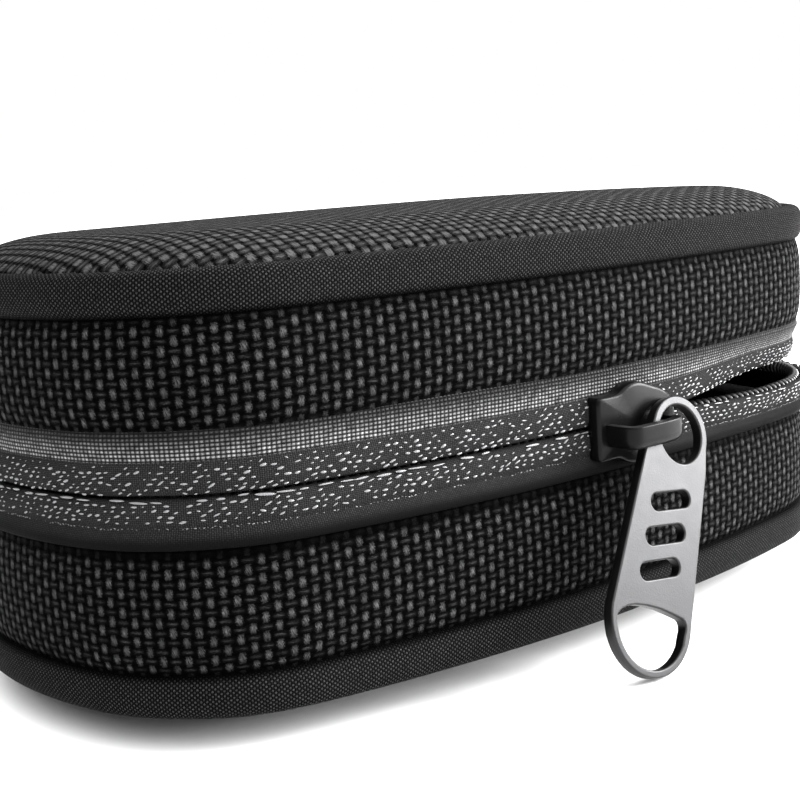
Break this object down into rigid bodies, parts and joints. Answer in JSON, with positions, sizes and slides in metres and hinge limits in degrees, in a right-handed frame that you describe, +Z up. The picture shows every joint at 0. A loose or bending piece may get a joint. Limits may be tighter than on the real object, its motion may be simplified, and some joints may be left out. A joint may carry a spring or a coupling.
{
  "type": "headphone carrying case",
  "caption": "Small padded clamshell case for headphones: bowed rounded tray and hinged lid closed by a zip with a captive slider and a flat swinging pull tab.",
  "frame": {"origin": "middle of the flat resting face under the base", "axes": "+X along the long side, -Y the front with the slider, +Y the back with the cloth hinge, +Z up"},
  "size_m": [0.1208, 0.0815, 0.0538],
  "materials": {
    "outer_cloth": "coarse plain weave",
    "binding": "fine plain weave",
    "zip_tape": "slightly shiny woven tape",
    "zip_coil": "matte",
    "foam": "matte closed-cell foam",
    "board": "matte",
    "lining": "brushed knit",
    "net": "open net",
    "elastic": "ribbed",
    "slider_metal": "satin black",
    "tab_metal": "satin gunmetal"
  },
  "bodies": {
    "base": {"base_bottom_panel": "outer_cloth", "base_bottom_foam": "foam", "base_bottom_board": "board", "base_bottom_lining": "lining", "base_wall_fabric": "outer_cloth", "base_wall_foam": "foam", "base_wall_lining": "lining", "base_binding": "binding", "base_inner_binding": "binding", "base_zip_tape": "zip_tape", "base_zip_coil": "zip_coil", "zip_end_tabs": "binding", "hinge_strip": "outer_cloth", "hinge_lining": "lining"},
    "lid": {"lid_top_panel": "outer_cloth", "lid_top_foam": "foam", "lid_top_board": "board", "lid_top_lining": "lining", "lid_wall_fabric": "outer_cloth", "lid_wall_foam": "foam", "lid_wall_lining": "lining", "lid_binding": "binding", "lid_inner_binding": "binding", "lid_zip_tape": "zip_tape", "lid_zip_coil": "zip_coil", "mesh_pocket": "net", "pocket_elastic": "elastic"},
    "slider": {"slider_body": "slider_metal", "slider_bridge": "slider_metal"},
    "pull": {"pull_tab": "tab_metal"}
  },
  "joints": [
    {"name": "lid_hinge", "type": "hinge", "parent": "base", "child": "lid", "pos_m": [0, 0.0359, 0.0272], "axis": [-1, 0, 0], "range_deg": [0, 170], "deforming": ["hinge_strip", "hinge_lining"]},
    {"name": "slider_travel", "type": "hinge", "parent": "base", "child": "slider", "pos_m": [0, 0.1695, 0.0272], "axis": [0, 0, 1], "range_deg": [-10.2, 8]},
    {"name": "pull_swing", "type": "hinge", "parent": "slider", "child": "pull", "pos_m": [0.00827, -0.03848, 0.02514], "axis": [-0.0184, 0.9658, -0.2588], "range_deg": [0, 17]}
  ]
}
